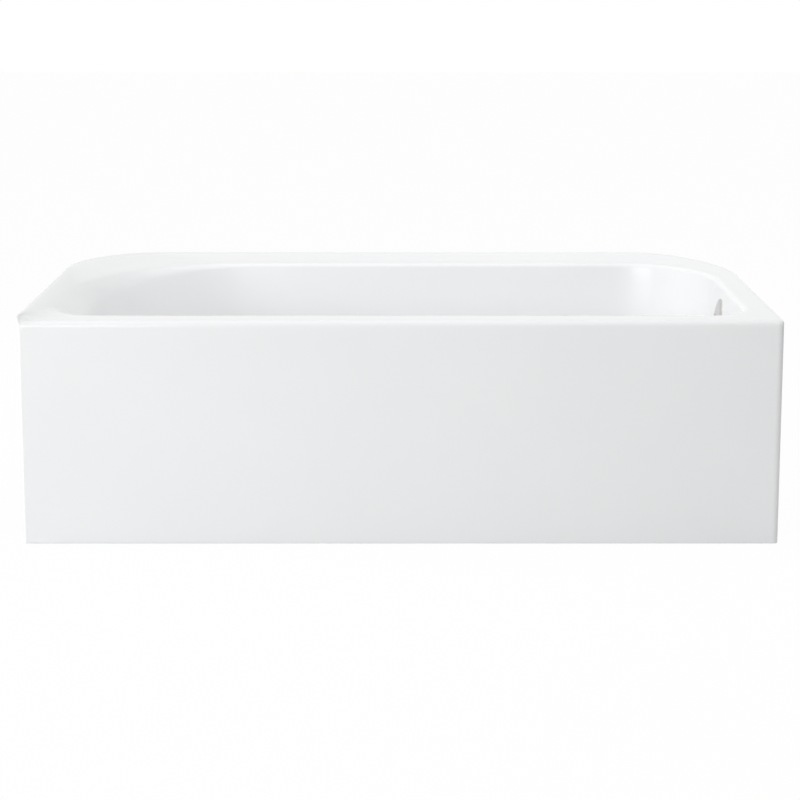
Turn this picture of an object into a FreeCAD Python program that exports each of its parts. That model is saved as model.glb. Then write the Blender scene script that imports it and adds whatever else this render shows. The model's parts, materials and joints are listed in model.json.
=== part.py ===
import FreeCAD, Part

import math
import os
import re

import Sketcher

# An alcove bathtub: a moulded shell on a board and feet, with its waste and overflow.
# Millimetres. X runs along the tub to its drain end, Y from the apron to the back wall, Z up.
# The origin is on the floor, under the middle of the tub.

V = FreeCAD.Vector

# ---------------------------------------------------------------- driving sizes

SIZES = [
    # outside of the shell
    ("tub_length", 1524, "length between the end walls"),
    ("tub_width", 762, "from the apron's face to the back wall"),
    ("rim_height", 457, "floor to the front rim"),
    ("wall", 5, "thickness of the moulded shell"),
    ("lip_rise", 13, "height of the wall-side lip above the rim"),
    ("lip_width", 42, "width of the slope inside the lip"),
    ("lip_round", 4, "radius along the top of the lip"),
    ("lip_sink", 2.5, "how far the lip's end lies below the rim"),
    ("lip_tuck", 6, "how far the lip's end lies behind the rim's edge"),
    ("rim_round", 12, "radius along the front edge and around the basin's mouth"),
    ("back_corner_backrest", 200, "plan radius of the back corner at the backrest end"),
    ("back_corner_drain", 226, "plan radius of the back corner at the drain end"),
    ("front_corner_plain", 7, "plan radius of the front corner at the backrest end"),
    ("front_corner_drain", 14, "plan radius of the front corner at the drain end"),
    ("skirt_depth", 60, "height of the skirts on the wall sides"),
    ("apron_return", 45, "how far the apron turns back at its ends"),
    ("apron_foot", 30, "width of the return along the foot of the apron"),
    # basin
    ("front_rim", 70, "apron face to the basin's mouth"),
    ("back_rim", 85, "back face to the basin's mouth"),
    ("drain_rim", 58, "drain end to the basin's mouth"),
    ("backrest_rim", 57, "backrest end to the basin's mouth"),
    ("floor_height", 115, "ground to the basin's floor"),
    ("side_draft", 7.5, "lean of the front and back walls, degrees"),
    ("end_draft", 9, "lean of the drain end wall, degrees"),
    ("backrest_lean", 31, "lean of the backrest, degrees"),
    ("roll_depth", 50, "depth over which the backrest rolls into the rim"),
    ("roll_reach", 47, "how far that roll reaches into the basin"),
    ("mouth_front_backrest", 80, "plan radius of the mouth, front, backrest end"),
    ("mouth_front_drain", 78, "plan radius of the mouth, front, drain end"),
    ("mouth_back_drain", 205, "plan radius of the mouth, back, drain end"),
    ("mouth_back_backrest", 320, "plan radius of the mouth, back, backrest end"),
    ("floor_corner_front", 110, "plan radius of the basin's front corners at the floor"),
    ("floor_corner_back", 155, "plan radius of the basin's back corners at the floor"),
    ("floor_round", 60, "radius between the basin's walls and floor"),
    # drain and overflow
    ("drain_inset", 160, "basin's mouth at the drain end to the drain's centre"),
    ("drain_hole", 24, "radius of the hole in the basin's floor"),
    ("drain_recess", 37, "radius of the recess for the drain's flange"),
    ("recess_depth", 2.5, "depth of that recess"),
    ("drain_boss", 46, "radius of the thickened floor under the drain"),
    ("boss_depth", 3, "how far the boss stands below the floor"),
    ("flange_seal", 1, "thickness of the seal under the drain's flange"),
    ("flange", 2.5, "thickness of the drain's flange"),
    ("flange_radius", 35, "radius of the drain's flange"),
    ("tail_radius", 23, "radius of the drain's threaded tail"),
    ("drain_bore", 19.5, "radius of the way through the drain"),
    ("tail_length", 36, "length of the drain's tail below its flange"),
    ("bar_width", 3, "width of the strainer's cross bars"),
    ("bar_height", 6, "height of the strainer's cross bars"),
    ("bar_drop", 16, "flange's underside down to the top of the cross bars"),
    ("hub_radius", 8.5, "radius of the hub where the bars cross"),
    ("bush_radius", 6, "radius of the bush in the hub"),
    ("bush_flange", 1.5, "thickness of the bush's collar"),
    ("stem_radius", 4, "radius of the stopper's stem"),
    ("stem_play", 0.05, "radial play of the stem in its bush"),
    ("spigot_radius", 2.5, "radius of the spigot that holds the cap on the stem"),
    ("spigot_length", 6, "length of that spigot"),
    ("stopper_lift", 10, "travel of the stopper from shut to open"),
    ("seat_gap", 0.3, "gap left under the stopper's seal when shut"),
    ("seal_radius", 25.5, "outer radius of the stopper's seal"),
    ("seal_lap", 4.5, "width of the stopper's seal"),
    ("seal_height", 2, "thickness of the stopper's seal"),
    ("cap_radius", 27, "radius of the stopper's cap"),
    ("cap_height", 3.5, "thickness of the stopper's cap"),
    ("knob_radius", 7.5, "radius of the knob on the cap"),
    ("knob_height", 13, "height of that knob"),
    ("shoe_gasket", 2, "thickness of the gasket under the basin's floor"),
    ("shoe_flange", 4, "thickness of the shoe's top flange"),
    ("shoe_radius", 28, "radius of the shoe's body"),
    ("shoe_reach", 52, "drain's centre to the end of the shoe's socket"),
    ("waste_drop", 49, "basin's floor down to the centre of the waste tube"),
    ("tube_radius", 19.05, "outer radius of every tube"),
    ("tube_wall", 2, "wall of every tube"),
    ("socket_wall", 4, "wall around a tube in its socket"),
    ("socket_depth", 20, "depth of a glued socket"),
    ("slip_play", 0.1, "radial play of a tube in a slip joint"),
    ("stack_gap", 25, "mouth of the basin to the centre of the overflow tube"),
    ("tee_arm", 45, "tee's centre to the end of a slip arm"),
    ("tee_drop", 32, "tee's centre to the end of its lower arm"),
    ("tee_socket", 14, "depth of the tee's lower socket"),
    ("tail_shoulder", 0.5, "shoulder of the tailpiece under the tee"),
    ("outlet_clear", 2, "floor to the end of the tailpiece"),
    ("nut_width", 55, "slip nut across its flats"),
    ("nut_height", 19, "height of a slip nut"),
    ("nut_cap", 4, "thickness of a slip nut's end"),
    ("washer_height", 3, "thickness of a slip washer"),
    ("overflow_drop", 64, "rim to the centre of the overflow"),
    ("overflow_hole", 27, "radius of the overflow's hole in the end wall"),
    ("plate_radius", 38, "radius of the overflow's faceplate"),
    ("plate_edge", 2, "height of the faceplate's edge"),
    ("plate_crown", 4, "height of the faceplate's face above the wall"),
    ("plate_skin", 1.5, "thickness of the faceplate"),
    ("plate_face", 28, "radius of the faceplate's flat face"),
    ("plate_slot", 34, "width of the water slot at the faceplate's lower edge"),
    ("gasket", 4, "thickness of the overflow's gasket"),
    ("head_flange", 4, "thickness of the overflow elbow's flange"),
    ("head_radius", 24, "outer radius of the overflow elbow"),
    ("head_bore", 16, "radius of the way through the overflow elbow"),
    ("elbow_drop", 48, "elbow's bend down to the end of its socket"),
    ("screw_offset", 20, "overflow's centre to each of its screws"),
    ("screw_radius", 2, "radius of the overflow's screws"),
    ("screw_head", 4.2, "radius of their heads"),
    ("screw_length", 28, "length of their shanks"),
    # board, feet and stiffeners
    ("board_thickness", 12, "thickness of the support board"),
    ("board_inset_backrest", 72, "foot of the backrest to the board's end"),
    ("board_gap_drain", 62, "drain's centre to the board's end"),
    ("board_width", 380, "width of the support board"),
    ("board_corner", 70, "plan radius of the board's corners"),
    ("foot_inset", 70, "board's end to the first foot's centre"),
    ("foot_side_inset", 65, "board's side to a row of feet"),
    ("foot_base", 29, "radius of a foot at the floor"),
    ("foot_neck", 35, "radius of a foot under its collar"),
    ("foot_collar", 48, "radius of a foot's collar"),
    ("collar_height", 5, "thickness of a foot's collar"),
    ("foot_wall", 4, "wall of a foot"),
    ("foot_sole", 6, "thickness of a foot's sole"),
    ("foot_screw_circle", 41.5, "foot's centre to each of its screws"),
    ("foot_screw_radius", 2.1, "radius of a foot's screws"),
    ("foot_screw_length", 10, "how far a foot's screws enter the board"),
    ("foot_screw_head", 4, "radius of their heads"),
    ("foot_screw_head_height", 2.6, "height of their heads"),
    ("rail_width", 40, "width of the rim rails"),
    ("rail_height", 18, "height of the rim rails"),
    ("rail_end_gap", 20, "shell's end to the end of a rail"),
    ("back_rail_length", 920, "length of the back rim rail"),
    ("base_rail_width", 38, "width of the rail at the apron's foot"),
    ("base_rail_height", 38, "height of that rail"),
    ("brace_spacing", 380, "distance between the apron's braces"),
    ("brace_width", 80, "width of an apron brace"),
    ("brace_crown", 34, "width of a brace's crown"),
    ("brace_depth", 28, "depth of an apron brace"),
    ("brace_skin", 3, "thickness of an apron brace"),
]

FEET_PER_ROW = 3
FOOT_ROWS = 2
SCREWS_PER_FOOT = 3
BRACES = 3
ROUNDING_STEPS = 4
LIP_END_STEPS = 6

# Places that follow from the sizes, each worked out once.
PLACES = [
    ("end_x", "tub_length / 2"),
    ("face_y", "tub_width / 2"),
    ("deck_under", "rim_height - wall"),
    ("mouth_backrest", "-end_x + backrest_rim"),
    ("mouth_drain", "end_x - drain_rim"),
    ("mouth_front", "-face_y + front_rim"),
    ("mouth_back", "face_y - back_rim"),
    ("middle_y", "(mouth_front + mouth_back) / 2"),
    ("basin_depth", "rim_height - floor_height"),
    ("floor_under", "floor_height - wall"),
    ("waste_height", "floor_height - waste_drop"),
    ("backrest_foot", "mouth_backrest + roll_reach + tan(backrest_lean) * (basin_depth - roll_depth)"),
    ("drain_x", "mouth_drain - drain_inset"),
    ("recess_floor", "floor_height - recess_depth"),
    ("flange_under", "recess_floor + flange_seal"),
    ("flange_top", "flange_under + flange"),
    ("bars_top", "flange_under - bar_drop"),
    ("bars_under", "bars_top - bar_height"),
    ("seal_under", "flange_top + seat_gap"),
    ("cap_under", "seal_under + seal_height"),
    ("boss_under", "floor_under - boss_depth"),
    ("shoe_top", "boss_under - shoe_gasket"),
    ("shoe_neck", "shoe_top - shoe_flange"),
    ("tail_end", "flange_under - tail_length"),
    ("bore_radius", "tube_radius - tube_wall"),
    ("socket_radius", "tube_radius + socket_wall"),
    ("slip_radius", "tube_radius + slip_play"),
    ("tail_spigot", "tube_radius - tail_shoulder"),
    ("stack_x", "mouth_drain + stack_gap"),
    ("waste_start", "drain_x + shoe_reach - socket_depth"),
    ("waste_end", "stack_x - tee_arm + socket_depth"),
    ("overflow_z", "rim_height - overflow_drop"),
    ("overflow_x", "mouth_drain - overflow_drop * tan(end_draft)"),
    ("wall_through", "wall * cos(end_draft)"),
    ("head_face", "wall_through + gasket"),
    ("bend_along", "(stack_x - overflow_x) / cos(end_draft)"),
    ("bend_z", "overflow_z - (stack_x - overflow_x) * tan(end_draft)"),
    ("elbow_end", "bend_z - elbow_drop"),
    ("board_under", "floor_under - board_thickness"),
    ("board_left", "backrest_foot + board_inset_backrest"),
    ("board_right", "drain_x - board_gap_drain"),
    ("foot_first_x", "board_left + foot_inset"),
    ("foot_last_x", "board_right - foot_inset"),
    ("foot_rows", "board_width - 2 * foot_side_inset"),
]

SIZE_NAMES = {name for name, value, note in SIZES}
PLACE_NAMES = {name for name, formula in PLACES}


def formula(text):
    """The text with each size or place named by the object that holds it."""

    def owner(match):
        word = match.group(0)
        if word in SIZE_NAMES:
            return "Sizes." + word
        if word in PLACE_NAMES:
            return "Places." + word
        return word

    return re.sub(r"[a-z][a-z0-9_]*", owner, str(text))


doc = FreeCAD.newDocument("alcove_bathtub")

sheet = doc.addObject("Spreadsheet::Sheet", "Sizes")
for row, (name, value, note) in enumerate(SIZES, start=1):
    sheet.set("A%d" % row, name)
    sheet.set("B%d" % row, str(value))
    sheet.set("C%d" % row, note)
    sheet.setAlias("B%d" % row, name)
doc.recompute()

places = doc.addObject("App::VarSet", "Places")
for name, rule in PLACES:
    places.addProperty("App::PropertyFloat", name, "Places", "")
    places.setExpression(name, formula(rule))
doc.recompute()


def size(name):
    """A size or a place as a number."""
    if name in SIZE_NAMES:
        return float(sheet.get(name))
    return float(getattr(places, name))


# ---------------------------------------------------------------- ways of making pieces

GUESS = 100.0


def new_body(label):
    body = doc.addObject("PartDesign::Body", label)
    body.Label = label
    return body


def attached_sketch(body, name, plane, offset=None):
    sketch = body.newObject("Sketcher::SketchObject", name)
    roles = {feature.Role: feature for feature in body.Origin.OriginFeatures}
    sketch.AttachmentSupport = (roles[plane], [""])
    sketch.MapMode = "FlatFace"
    if offset is not None:
        sketch.setExpression("AttachmentOffset.Base.z", formula(offset))
    return sketch


def tie_point(sketch, element, vertex, across, along):
    """Holds one point of the sketch at the two given distances from its origin."""
    for kind, distance in (("DistanceX", across), ("DistanceY", along)):
        tie = Sketcher.Constraint(kind, -1, 1, element, vertex, GUESS)
        index = sketch.addConstraint(tie)
        sketch.setExpression("Constraints[%d]" % index, formula(distance))


def outline(body, name, plane, corners, offset=None):
    """A closed outline of straight lines through the given corners."""
    sketch = attached_sketch(body, name, plane, offset)
    count = len(corners)
    start = [
        V(GUESS * (2 + math.cos(2 * math.pi * i / count)), GUESS * math.sin(2 * math.pi * i / count), 0)
        for i in range(count)
    ]
    for i in range(count):
        sketch.addGeometry(Part.LineSegment(start[i], start[(i + 1) % count]), False)
    for i in range(count):
        sketch.addConstraint(Sketcher.Constraint("Coincident", i, 2, (i + 1) % count, 1))
    for i, (across, along) in enumerate(corners):
        tie_point(sketch, i, 1, across, along)
    return sketch


def circles(body, name, plane, rounds, offset=None):
    """Circles given as (across, along, radius)."""
    sketch = attached_sketch(body, name, plane, offset)
    for i, (across, along, radius) in enumerate(rounds):
        centre = V(GUESS * i, GUESS, 0)
        sketch.addGeometry(Part.Circle(centre, V(0, 0, 1), GUESS / 4), False)
        tie_point(sketch, i, 3, across, along)
        index = sketch.addConstraint(Sketcher.Constraint("Radius", i, GUESS / 4))
        sketch.setExpression("Constraints[%d]" % index, formula(radius))
    return sketch


def turn(body, name, corners, axis="V_Axis", cut=False):
    """A profile of (radius, height) corners turned about the body's Z or X axis."""
    sketch = outline(body, name + "_profile", "XZ_Plane", corners)
    kind = "PartDesign::Groove" if cut else "PartDesign::Revolution"
    feature = body.newObject(kind, name)
    feature.Profile = sketch
    feature.ReferenceAxis = (sketch, [axis])
    feature.Angle = 360
    return feature


def pad(body, name, sketch, length):
    feature = body.newObject("PartDesign::Pad", name)
    feature.Profile = sketch
    feature.setExpression("Length", formula(length))
    return feature


def pocket_both_ways(body, name, sketch, length):
    feature = body.newObject("PartDesign::Pocket", name)
    feature.Profile = sketch
    feature.Midplane = True
    feature.setExpression("Length", formula(length))
    return feature


def repeat_around(body, name, feature, sketch, count):
    pattern = body.newObject("PartDesign::PolarPattern", name)
    pattern.Originals = [feature]
    pattern.Axis = (sketch, ["N_Axis"])
    pattern.Angle = 360
    pattern.Occurrences = count
    body.Tip = pattern
    return pattern


def fillet(body, name, feature, radius, wanted):
    """Rounds those edges of the feature for which wanted(edge) is true."""
    doc.recompute()
    names = ["Edge%d" % i for i, edge in enumerate(feature.Shape.Edges, start=1) if wanted(edge)]
    if not names:
        raise ValueError("no edge found for " + name)
    rounding = body.newObject("PartDesign::Fillet", name)
    rounding.Base = (feature, names)
    rounding.setExpression("Radius", formula(radius))
    body.Tip = rounding
    return rounding


def place(body, x, y, z):
    for letter, distance in zip("xyz", (x, y, z)):
        body.setExpression("Placement.Base." + letter, formula(distance))


def lean_on_end_wall(body):
    """Puts a body at the overflow, its Z axis pointing out through the leaning end wall."""
    body.Placement = FreeCAD.Placement(V(0, 0, 0), FreeCAD.Rotation(V(0, 1, 0), 90))
    body.setExpression("Placement.Rotation.Angle", formula("90 + end_draft"))
    place(body, "overflow_x", "middle_y", "overflow_z")


def box(label, length, width, height, x, y, z):
    piece = doc.addObject("Part::Box", label)
    piece.Label = label
    piece.setExpression("Length", formula(length))
    piece.setExpression("Width", formula(width))
    piece.setExpression("Height", formula(height))
    place(piece, x, y, z)
    return piece


# ---------------------------------------------------------------- the moulded shell


def ring(z, left, right, front, back, corners):
    """A closed outline of four lines and four arcs at height z.

    The corner radii run front left, front right, back right, back left.
    """
    centres = [
        (left + corners[0], front + corners[0]),
        (right - corners[1], front + corners[1]),
        (right - corners[2], back - corners[2]),
        (left + corners[3], back - corners[3]),
    ]
    arcs = []
    for index, ((x, y), radius) in enumerate(zip(centres, corners)):
        first = math.radians(180 + 90 * index)
        points = []
        for step in range(3):
            angle = first + step * math.pi / 4
            points.append(V(x + radius * math.cos(angle), y + radius * math.sin(angle), z))
        arcs.append(points)
    edges = []
    for index, points in enumerate(arcs):
        edges.append(Part.Arc(*points).toShape())
        following = arcs[(index + 1) % 4]
        edges.append(Part.LineSegment(points[2], following[0]).toShape())
    return Part.Wire(edges)


def outer_corners(inset=0.0):
    names = ("front_corner_plain", "front_corner_drain", "back_corner_drain", "back_corner_backrest")
    return [size(name) - inset for name in names]


def tub_prism(low, high, inset=0.0):
    """The tub's plan, raised from one height to another."""
    x = size("end_x") - inset
    y = size("face_y") - inset
    base = ring(low, -x, x, -y, y, outer_corners(inset))
    return Part.Face(base).extrude(V(0, 0, high - low))


def backrest_at(depth):
    """The backrest's X at a depth below the rim: a roll, then a straight lean."""
    roll_depth = size("roll_depth")
    reach = size("roll_reach")
    if depth <= roll_depth:
        share = depth / roll_depth
        return size("mouth_backrest") + reach * (1.6 * share - 0.6 * share * share)
    return size("mouth_backrest") + reach + (depth - roll_depth) * math.tan(math.radians(size("backrest_lean")))


def basin_ring(depth, grow, inset=0.0):
    """The basin's outline at a depth below the rim, grown outwards or set inwards."""
    share = depth / size("basin_depth")
    side = depth * math.tan(math.radians(size("side_draft"))) + inset - grow
    end = depth * math.tan(math.radians(size("end_draft"))) + inset - grow
    mouth = ("mouth_front_backrest", "mouth_front_drain", "mouth_back_drain", "mouth_back_backrest")
    floor = ("floor_corner_front", "floor_corner_front", "floor_corner_back", "floor_corner_back")
    corners = [size(a) + (size(b) - size(a)) * share + grow - inset for a, b in zip(mouth, floor)]
    return ring(
        size("rim_height") - depth,
        backrest_at(depth) + inset - grow,
        size("mouth_drain") - end,
        size("mouth_front") + side,
        size("mouth_back") - side,
        corners,
    )


def basin_solid(grow):
    """The basin's inside (grow 0) or its outer skin, as one lofted solid with a round floor.

    It stands above the rim, so that it cuts cleanly through the deck.
    """
    roll = size("roll_depth")
    rounding = size("floor_round") + grow
    straight = size("basin_depth") - size("floor_round")
    depths = [roll * share for share in (-0.5, 0.0, 0.33, 0.66, 1.0)]
    steps = round((straight - roll) / roll)
    depths += [roll + (straight - roll) * (step + 1) / steps for step in range(steps)]
    rings = [basin_ring(depth, grow) for depth in depths]
    for step in range(ROUNDING_STEPS):
        angle = math.pi / 2 * (step + 1) / ROUNDING_STEPS
        inset = rounding * (1 - math.cos(angle))
        rings.append(basin_ring(straight + rounding * math.sin(angle), grow, inset))
    return Part.makeLoft(rings, True, False)


def lip_profile(corner, inwards, rise):
    """The lip's section at a point of the rim, its top at rise above it."""
    top_round = size("lip_round")
    flat = top_round * (1 - math.cos(math.pi / 4))
    low = 2 + size("rim_round")
    sunk = 0.9 * size("wall")

    def point(across, height):
        return corner + inwards * across + V(0, 0, height)

    outside = point(0, -low)
    start = point(0, rise - top_round)
    rest = [
        point(top_round, rise),
        point(size("lip_width"), min(0, rise - top_round / 4)),
        point(size("lip_width"), -sunk),
        point(sunk, -sunk),
        point(sunk, -low),
        outside,
    ]
    edges = [
        Part.LineSegment(outside, start).toShape(),
        Part.Arc(start, point(flat, rise - flat), rest[0]).toShape(),
    ]
    edges += [Part.LineSegment(a, b).toShape() for a, b in zip(rest, rest[1:])]
    return Part.Wire(edges)


def wall_lip():
    """The raised lip along the backrest end and the back, and its end at the drain's corner.

    Round that corner the lip sinks into the rim and tucks in behind its edge.
    """
    x = size("end_x")
    y = size("face_y")
    near = size("back_corner_backrest")
    radius = size("back_corner_drain")
    rim = size("rim_height")
    rise = size("lip_rise")
    start = V(-x, -y + size("rim_round") + 2, rim)
    near_centre = V(-x + near, y - near, rim)
    diagonal = near * math.sqrt(0.5)
    path = Part.Wire([
        Part.LineSegment(start, V(-x, y - near, rim)).toShape(),
        Part.Arc(
            V(-x, y - near, rim), near_centre + V(-diagonal, diagonal, 0), V(-x + near, y, rim)
        ).toShape(),
        Part.LineSegment(V(-x + near, y, rim), V(x - radius, y, rim)).toShape(),
    ])
    level = path.makePipeShell([lip_profile(start, V(1, 0, 0), rise)], True, False)
    centre = V(x - radius, y - radius, rim)
    sections = []
    for step in range(LIP_END_STEPS + 1):
        share = step / LIP_END_STEPS
        fading = (1 - math.cos(math.pi * share)) / 2
        angle = math.radians(90 * (1 - share))
        outwards = V(math.cos(angle), math.sin(angle), 0)
        corner = centre + outwards * (radius - fading * size("lip_tuck"))
        height = rise - fading * (rise + size("lip_sink"))
        sections.append(lip_profile(corner, -outwards, height))
    return [level, Part.makeLoft(sections, True, False)]


def make_shell():
    x = size("end_x")
    y = size("face_y")
    rim = size("rim_height")
    wall = size("wall")
    deck_under = size("deck_under")

    outside = tub_prism(0, rim)
    front_top = [
        edge for edge in outside.Edges
        if edge.BoundBox.ZMin > rim - 1 and edge.BoundBox.YMax < -y + 1
    ]
    outside = outside.makeFillet(size("rim_round"), front_top)
    shell = outside.cut(tub_prism(-1, deck_under, wall))

    skirt_low = rim - size("skirt_depth")
    behind = Part.makeBox(
        2 * x + 2, 2 * y, skirt_low + 1, V(-x - 1, -y + size("apron_return"), -1)
    )
    shell = shell.cut(behind)
    foot = Part.makeBox(2 * x + 2, size("apron_foot"), wall, V(-x - 1, -y, 0))
    shell = shell.fuse(foot.common(tub_prism(0, wall)))

    skin = basin_solid(wall).common(tub_prism(0, (rim + deck_under) / 2))
    shell = shell.fuse(skin)
    drain = V(size("drain_x"), size("middle_y"), 0)
    boss = Part.makeCylinder(
        size("drain_boss"), size("boss_depth") + 1, drain + V(0, 0, size("boss_under"))
    )
    shell = shell.fuse(boss)
    shell = shell.cut(basin_solid(0.0))

    mouth = [
        edge for edge in shell.Edges
        if abs(edge.BoundBox.ZMin - rim) < 0.5 and abs(edge.BoundBox.ZMax - rim) < 0.5
        and edge.BoundBox.XMin > -x + 30 and edge.BoundBox.XMax < x - 30
        and edge.BoundBox.YMin > -y + 30 and edge.BoundBox.YMax < y - 30
    ]
    shell = shell.makeFillet(size("rim_round"), mouth)

    recess = Part.makeCylinder(size("drain_recess"), 10, drain + V(0, 0, size("recess_floor")))
    hole = Part.makeCylinder(size("drain_hole"), 60, drain + V(0, 0, size("boss_under") - 30))
    lean = math.radians(size("end_draft"))
    outwards = V(math.cos(lean), 0, -math.sin(lean))
    overflow = V(size("overflow_x"), size("middle_y"), size("overflow_z"))
    overflow_hole = Part.makeCylinder(size("overflow_hole"), 40, overflow - outwards * 20, outwards)
    shell = shell.cut(recess).cut(hole).cut(overflow_hole)
    return shell.fuse(wall_lip()).removeSplitter()


def tub_shell():
    piece = doc.addObject("Part::Feature", "tub_shell")
    piece.Label = "tub_shell"
    piece.Shape = make_shell()
    return piece


# ---------------------------------------------------------------- board, feet and stiffeners


def foot_centres():
    """The formula for each foot's centre, row by row."""
    centres = []
    for row in range(FOOT_ROWS):
        y = "middle_y + foot_rows * (%s)" % (row - (FOOT_ROWS - 1) / 2)
        for step in range(FEET_PER_ROW):
            x = "foot_first_x + (foot_last_x - foot_first_x) * %d / %d" % (step, FEET_PER_ROW - 1)
            centres.append((x, y))
    return centres


def screw_angle(index):
    return 2 * math.pi * index / SCREWS_PER_FOOT


def floor_board():
    body = new_body("floor_board")
    corners = [
        ("board_left", "middle_y - board_width / 2"),
        ("board_right", "middle_y - board_width / 2"),
        ("board_right", "middle_y + board_width / 2"),
        ("board_left", "middle_y + board_width / 2"),
    ]
    plan = outline(body, "board_plan", "XY_Plane", corners)
    slab = pad(body, "board_slab", plan, "board_thickness")

    def upright(edge):
        return edge.BoundBox.ZLength > 1

    fillet(body, "board_rounding", slab, "board_corner", upright)
    holes = []
    for x, y in foot_centres():
        for index in range(SCREWS_PER_FOOT):
            across = "%s + foot_screw_circle * %.9f" % (x, math.cos(screw_angle(index)))
            along = "%s + foot_screw_circle * %.9f" % (y, math.sin(screw_angle(index)))
            holes.append((across, along, "foot_screw_radius"))
    pilot = circles(body, "screw_plan", "XY_Plane", holes)
    pocket_both_ways(body, "screw_holes", pilot, "foot_screw_length * 2")
    place(body, 0, 0, "board_under")


def support_foot(number, x, y):
    body = new_body("support_foot_%d" % number)
    turn(body, "foot_cup_%d" % number, [
        (0, 0),
        ("foot_base", 0),
        ("foot_neck", "board_under - collar_height"),
        ("foot_collar", "board_under - collar_height"),
        ("foot_collar", "board_under"),
        ("foot_neck - foot_wall", "board_under"),
        ("foot_base - foot_wall", "foot_sole"),
        (0, "foot_sole"),
    ])
    plan = circles(
        body, "foot_hole_plan_%d" % number, "XY_Plane",
        [("foot_screw_circle", 0, "foot_screw_radius")], "board_under",
    )
    hole = pocket_both_ways(body, "foot_hole_%d" % number, plan, "collar_height * 3")
    repeat_around(body, "foot_holes_%d" % number, hole, plan, SCREWS_PER_FOOT)
    place(body, x, y, 0)


def foot_screws(feet):
    """Pan-head screws, driven up through the collars into the board."""
    top = size("board_under")
    collar = size("collar_height")
    head = size("foot_screw_head_height")
    screws = []
    for foot in feet:
        centre = foot.Placement.Base
        for index in range(SCREWS_PER_FOOT):
            radius = size("foot_screw_circle")
            angle = screw_angle(index)
            at = V(centre.x + radius * math.cos(angle), centre.y + radius * math.sin(angle), 0)
            shank = Part.makeCylinder(
                size("foot_screw_radius"), collar + size("foot_screw_length"), at + V(0, 0, top - collar)
            )
            pan = Part.makeCylinder(
                size("foot_screw_head"), head, at + V(0, 0, top - collar - head)
            )
            lowest = [e for e in pan.Edges if e.BoundBox.ZMax < top - collar - head + 0.1]
            screws.append(shank.fuse(pan.makeFillet(head / 2, lowest)).removeSplitter())
    piece = doc.addObject("Part::Feature", "foot_screws")
    piece.Label = "foot_screws"
    piece.Shape = Part.makeCompound(screws)


def rails():
    rail_z = "deck_under - rail_height"
    long_rail = "tub_length - 2 * rail_end_gap"
    left = "-end_x + rail_end_gap"
    inner_face = "-face_y + wall"
    box("front_rim_rail", long_rail, "rail_width", "rail_height", left, inner_face, rail_z)
    box(
        "back_rim_rail", "back_rail_length", "rail_width", "rail_height",
        "-back_rail_length / 2", "face_y - wall - rail_width", rail_z,
    )
    box("apron_base_rail", long_rail, "base_rail_width", "base_rail_height", left, inner_face, "wall")


def apron_brace(number):
    """A hat-shaped stiffener behind the apron, between its two rails."""
    body = new_body("apron_brace_%d" % number)
    half = "brace_width / 2"
    crown = "brace_crown / 2"
    corners = [
        ("-" + half, 0),
        ("-%s + brace_skin" % crown, 0),
        ("-%s + brace_skin" % crown, "brace_depth - brace_skin"),
        ("%s - brace_skin" % crown, "brace_depth - brace_skin"),
        ("%s - brace_skin" % crown, 0),
        (half, 0),
        (half, "brace_skin"),
        (crown, "brace_skin"),
        (crown, "brace_depth"),
        ("-" + crown, "brace_depth"),
        ("-" + crown, "brace_skin"),
        ("-" + half, "brace_skin"),
    ]
    plan = outline(body, "brace_plan_%d" % number, "XY_Plane", corners)
    height = "deck_under - rail_height - wall - base_rail_height"
    pad(body, "brace_length_%d" % number, plan, height)
    middle = (BRACES + 1) / 2
    place(body, "brace_spacing * (%s)" % (number - middle), "-face_y + wall", "wall + base_rail_height")


# ---------------------------------------------------------------- drain and stopper


def washer_ring(label, inner, outer, height, x, y, z):
    body = new_body(label)
    turn(body, label + "_ring", [(inner, 0), (outer, 0), (outer, height), (inner, height)])
    place(body, x, y, z)
    return body


def drain_strainer():
    body = new_body("drain_strainer")
    turn(body, "drain_flange", [
        ("drain_bore", "-tail_length"),
        ("tail_radius", "-tail_length"),
        ("tail_radius", 0),
        ("flange_radius", 0),
        ("flange_radius", "flange * 0.4"),
        ("flange_radius - flange * 0.6", "flange"),
        ("drain_bore", "flange"),
    ])
    reach = "(drain_bore + (tail_radius - drain_bore) / 2)"
    half = "bar_width / 2"
    low = "-bar_drop - bar_height"
    for name, across, along in (("first", reach, half), ("second", half, reach)):
        bar = outline(body, "%s_bar_plan" % name, "XY_Plane", [
            ("-" + across, "-" + along),
            (across, "-" + along),
            (across, along),
            ("-" + across, along),
        ], low)
        pad(body, "%s_bar" % name, bar, "bar_height")
    hub = circles(body, "hub_plan", "XY_Plane", [(0, 0, "hub_radius")], low)
    pad(body, "hub", hub, "bar_height")
    bore = circles(body, "hub_bore_plan", "XY_Plane", [(0, 0, "bush_radius")], low)
    pocket_both_ways(body, "hub_bore", bore, "bar_height * 4")
    place(body, "drain_x", "middle_y", "flange_under")


def stopper_bush():
    body = new_body("stopper_bush")
    bore = "stem_radius + stem_play"
    turn(body, "bush", [
        (bore, 0),
        ("bush_radius", 0),
        ("bush_radius", "bar_height"),
        ("hub_radius - 0.5", "bar_height"),
        ("hub_radius - 0.5", "bar_height + bush_flange"),
        (bore, "bar_height + bush_flange"),
    ])
    place(body, "drain_x", "middle_y", "bars_under")


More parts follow.
